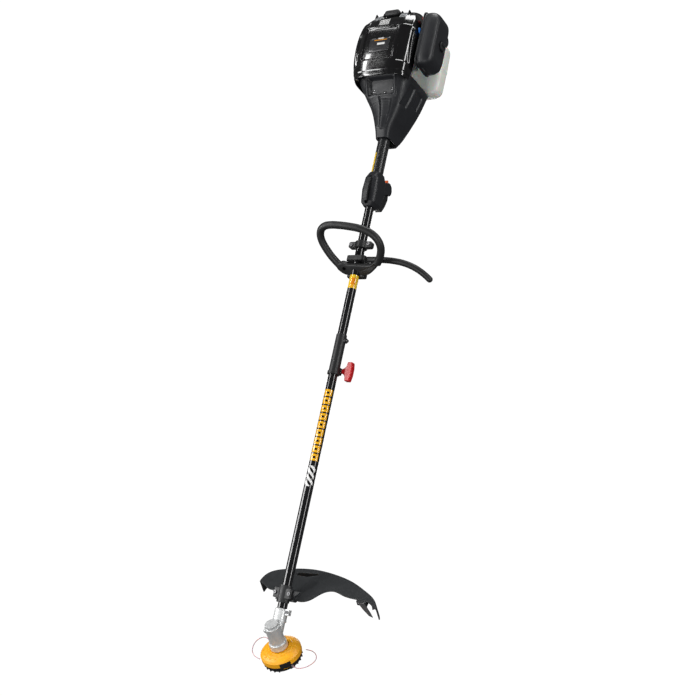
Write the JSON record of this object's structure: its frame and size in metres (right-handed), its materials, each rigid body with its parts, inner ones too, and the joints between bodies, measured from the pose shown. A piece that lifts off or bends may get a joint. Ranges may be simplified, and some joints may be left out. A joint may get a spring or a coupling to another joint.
{
  "type": "string trimmer",
  "caption": "Petrol string trimmer with a split straight shaft, loop handle with barrier bar, shield with line cutter, angled gearbox and bump-feed head.",
  "frame": {"origin": "on the shaft axis, in the middle of the harness clamp", "axes": "+Z along the shaft towards the engine, -Y the top side where the loop handle stands, +X the operator's left"},
  "size_m": [0.3654, 0.2332, 1.8393],
  "materials": {
    "tube_paint": "gloss black powder coat on steel tube",
    "bush_plastic": "plain",
    "grip_rubber": "satin",
    "housing_plastic": "fine grained black",
    "cover_plastic": "gloss black",
    "steel": "bright steel",
    "cast_aluminium": "die cast",
    "orange_plastic": "satin orange",
    "red_plastic": "satin red",
    "blue_plastic": "satin blue",
    "primer_rubber": "soft red",
    "tank_plastic": "translucent white polyethylene",
    "pulley_plastic": "plain",
    "line_nylon": "clear pinkish nylon"
  },
  "bodies": {
    "frame": {"upper_tube": "tube_paint", "lower_tube": "tube_paint", "shaft_bushes": "bush_plastic", "grip_sleeve": "grip_rubber", "throttle_housing_left": "housing_plastic", "throttle_housing_right": "housing_plastic", "harness_clamp_top": "housing_plastic", "harness_clamp_bottom": "housing_plastic", "coupler_sleeve": "cover_plastic", "shield": "housing_plastic", "shield_clamp": "housing_plastic", "line_cutter": "steel", "clamp_screws": "steel", "gearbox_housing": "cast_aluminium", "gearbox_bearings": "steel", "clutch_housing": "housing_plastic", "crankcase": "cast_aluminium", "cylinder": "cast_aluminium", "piston": "cast_aluminium", "spark_plug": "steel", "starter_housing": "housing_plastic", "engine_cover": "cover_plastic", "muffler": "steel", "carburetor": "cast_aluminium", "filter_base": "housing_plastic", "air_filter_cover": "housing_plastic", "fuel_tank": "tank_plastic"},
    "handle": {"loop_handle": "housing_plastic", "handle_clamp": "housing_plastic", "handle_screws": "steel", "barrier_bar": "housing_plastic"},
    "trigger": {"throttle_trigger": "cover_plastic"},
    "lockout": {"throttle_lockout": "cover_plastic"},
    "stop_switch": {"stop_switch": "orange_plastic"},
    "release_button": {"coupler_button": "cover_plastic"},
    "clamp_knob": {"coupler_knob": "red_plastic", "knob_bolt": "steel"},
    "drive_line": {"clutch_drum": "steel", "upper_drive_shaft": "steel", "lower_drive_shaft": "steel", "pinion_gear": "steel"},
    "head": {"head_cover": "orange_plastic", "head_base": "housing_plastic", "output_shaft": "steel", "output_gear": "steel", "line_eyelets": "steel", "bump_spring": "steel", "trimmer_line_left": "line_nylon", "trimmer_line_right": "line_nylon"},
    "spool": {"line_spool": "orange_plastic", "bump_knob": "housing_plastic"},
    "crank": {"crankshaft": "steel", "flywheel": "cast_aluminium", "clutch_shoes": "steel"},
    "starter_pulley": {"starter_pulley": "pulley_plastic"},
    "starter_handle": {"starter_handle": "cover_plastic"},
    "choke": {"choke_lever": "blue_plastic"},
    "primer": {"primer_bulb": "primer_rubber"},
    "filter_knob": {"filter_knob": "cover_plastic"},
    "fuel_cap": {"fuel_cap": "cover_plastic"}
  },
  "joints": [
    {"name": "handle_slide", "type": "slide", "parent": "frame", "child": "handle", "axis": [0, 0, 1], "range_m": [-0.04, 0.02]},
    {"name": "trigger_pull", "type": "hinge", "parent": "frame", "child": "trigger", "pos_m": [0, 0.056, 0.19], "axis": [-1, 0, 0], "range_deg": [0, 10], "stiffness_Nm_per_rad": 0.6, "springref_deg": -2.86},
    {"name": "lockout_press", "type": "hinge", "parent": "frame", "child": "lockout", "pos_m": [0, -0.025, 0.19], "axis": [1, 0, 0], "range_deg": [0, 5], "stiffness_Nm_per_rad": 0.5, "springref_deg": -2.86},
    {"name": "stop_switch_rock", "type": "hinge", "parent": "frame", "child": "stop_switch", "pos_m": [0, 0.053, 0.209], "axis": [1, 0, 0], "range_deg": [0, 18], "stiffness_Nm_per_rad": 0.05, "springref_deg": -2.86},
    {"name": "button_press", "type": "slide", "parent": "frame", "child": "release_button", "axis": [-1, 0, 0], "range_m": [0, 0.003], "stiffness_N_per_m": 800, "springref_m": -0.001},
    {"name": "clamp_knob_turn", "type": "hinge", "parent": "frame", "child": "clamp_knob", "pos_m": [0, 0.019, -0.357], "axis": [1, 0, 0], "continuous": true},
    {"name": "head_spin", "type": "hinge", "parent": "frame", "child": "head", "pos_m": [0, 0, -1.056], "axis": [0, -0.766, 0.6428], "continuous": true},
    {"name": "drive_spin", "type": "hinge", "parent": "frame", "child": "drive_line", "pos_m": [0, 0, 0], "axis": [0, 0, 1], "continuous": true},
    {"name": "bump_press", "type": "slide", "parent": "head", "child": "spool", "axis": [0, -0.766, 0.6428], "range_m": [0, 0.005], "stiffness_N_per_m": 900, "springref_m": -0.002, "deforming": ["bump_spring"]},
    {"name": "crank_spin", "type": "hinge", "parent": "frame", "child": "crank", "pos_m": [0, 0, 0], "axis": [0, 0, 1], "continuous": true},
    {"name": "pulley_spin", "type": "hinge", "parent": "frame", "child": "starter_pulley", "pos_m": [0, 0, 0.646], "axis": [0, 0, 1], "range_deg": [0, 1150]},
    {"name": "starter_pull", "type": "slide", "parent": "frame", "child": "starter_handle", "axis": [0, -1, 0], "range_m": [0, 0.5], "stiffness_N_per_m": 8, "springref_m": -0.3},
    {"name": "choke_turn", "type": "hinge", "parent": "frame", "child": "choke", "pos_m": [0.0938, -0.058, 0.606], "axis": [1, 0, 0], "range_deg": [0, 30]},
    {"name": "primer_press", "type": "slide", "parent": "frame", "child": "primer", "axis": [0, 1, 0], "range_m": [0, 0.003], "stiffness_N_per_m": 300, "springref_m": -0.001},
    {"name": "filter_knob_turn", "type": "hinge", "parent": "frame", "child": "filter_knob", "pos_m": [0.14, -0.03, 0.588], "axis": [1, 0, 0], "continuous": true},
    {"name": "fuel_cap_turn", "type": "hinge", "parent": "frame", "child": "fuel_cap", "pos_m": [0.1, 0.03, 0.649], "axis": [1, 0, 0], "continuous": true}
  ],
  "couplings": [
    {"joint": "drive_spin", "follows": "head_spin", "ratio": 1.3333},
    {"joint": "pulley_spin", "follows": "starter_pull", "rad_per_m": 40}
  ]
}
